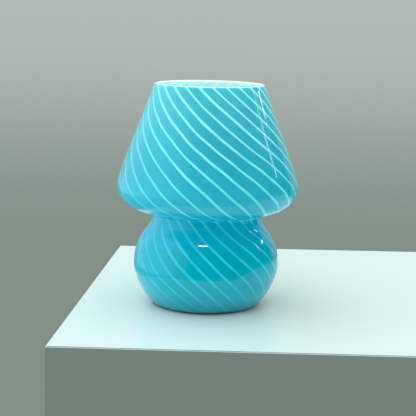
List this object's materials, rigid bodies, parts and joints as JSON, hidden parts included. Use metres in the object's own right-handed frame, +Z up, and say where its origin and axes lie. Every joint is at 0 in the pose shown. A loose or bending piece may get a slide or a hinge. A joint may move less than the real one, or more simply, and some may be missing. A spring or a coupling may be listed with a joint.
{
  "type": "table lamp",
  "caption": "Mushroom-shaped table lamp of blown glass, its shade and base in one piece and open at the top, with a screw-in bulb on a threaded tube.",
  "frame": {"origin": "on the table, under the middle of the lamp, where its axis meets the plane of the pads", "axes": "+Z up along the lamp's axis; +Y is the back, where the lead goes in; +X is to the right from the front"},
  "size_m": [0.1964, 0.1964, 0.2398],
  "materials": {
    "glass": "glossy",
    "clear_pad": "satin",
    "grommet_rubber": "matte",
    "gasket_rubber": "matte",
    "zinc_steel": "satin",
    "brass": "satin",
    "holder_plastic": "semi-gloss",
    "block_ceramic": "matte",
    "opal": "satin",
    "bulb_plastic": "semi-gloss",
    "nickel_cap": "semi-gloss",
    "cap_glass": "glossy",
    "solder": "satin",
    "board": "satin",
    "chip": "satin",
    "circuit": "matte"
  },
  "bodies": {
    "lamp": {"glass_body": "glass", "foot_pads": "clear_pad", "cable_grommet": "grommet_rubber", "lower_gasket": "gasket_rubber", "lower_washer": "zinc_steel", "lower_nut": "zinc_steel", "base_nipple": "zinc_steel", "upper_gasket": "gasket_rubber", "pressure_disc": "zinc_steel", "lock_nut": "zinc_steel", "side_outlet_coupler": "brass", "stem_tube": "zinc_steel", "stem_lock_nut": "zinc_steel", "holder_cap": "holder_plastic", "cap_grub_screw": "zinc_steel", "terminal_block": "block_ceramic", "terminal_screws": "zinc_steel", "centre_contact": "brass", "side_contact": "brass", "screw_shell": "brass", "holder_sleeve": "holder_plastic"},
    "bulb_lifter": {"bulb_tip_contact": "solder"},
    "bulb": {"bulb_insulator": "cap_glass", "bulb_screw_cap": "nickel_cap", "bulb_collar": "bulb_plastic", "bulb_envelope": "opal", "led_board": "board", "led_chips": "chip", "led_driver": "circuit"}
  },
  "joints": [
    {"name": "bulb_lift", "type": "slide", "parent": "lamp", "child": "bulb_lifter", "axis": [0, 0, 1], "range_m": [0, 0.0127]},
    {"name": "bulb_turn", "type": "hinge", "parent": "bulb_lifter", "child": "bulb", "pos_m": [0, 0, 0.1], "axis": [0, 0, 1], "range_deg": [0, 1620]}
  ],
  "couplings": [
    {"joint": "bulb_lift", "follows": "bulb_turn", "m_per_rad": 0.00044882}
  ]
}
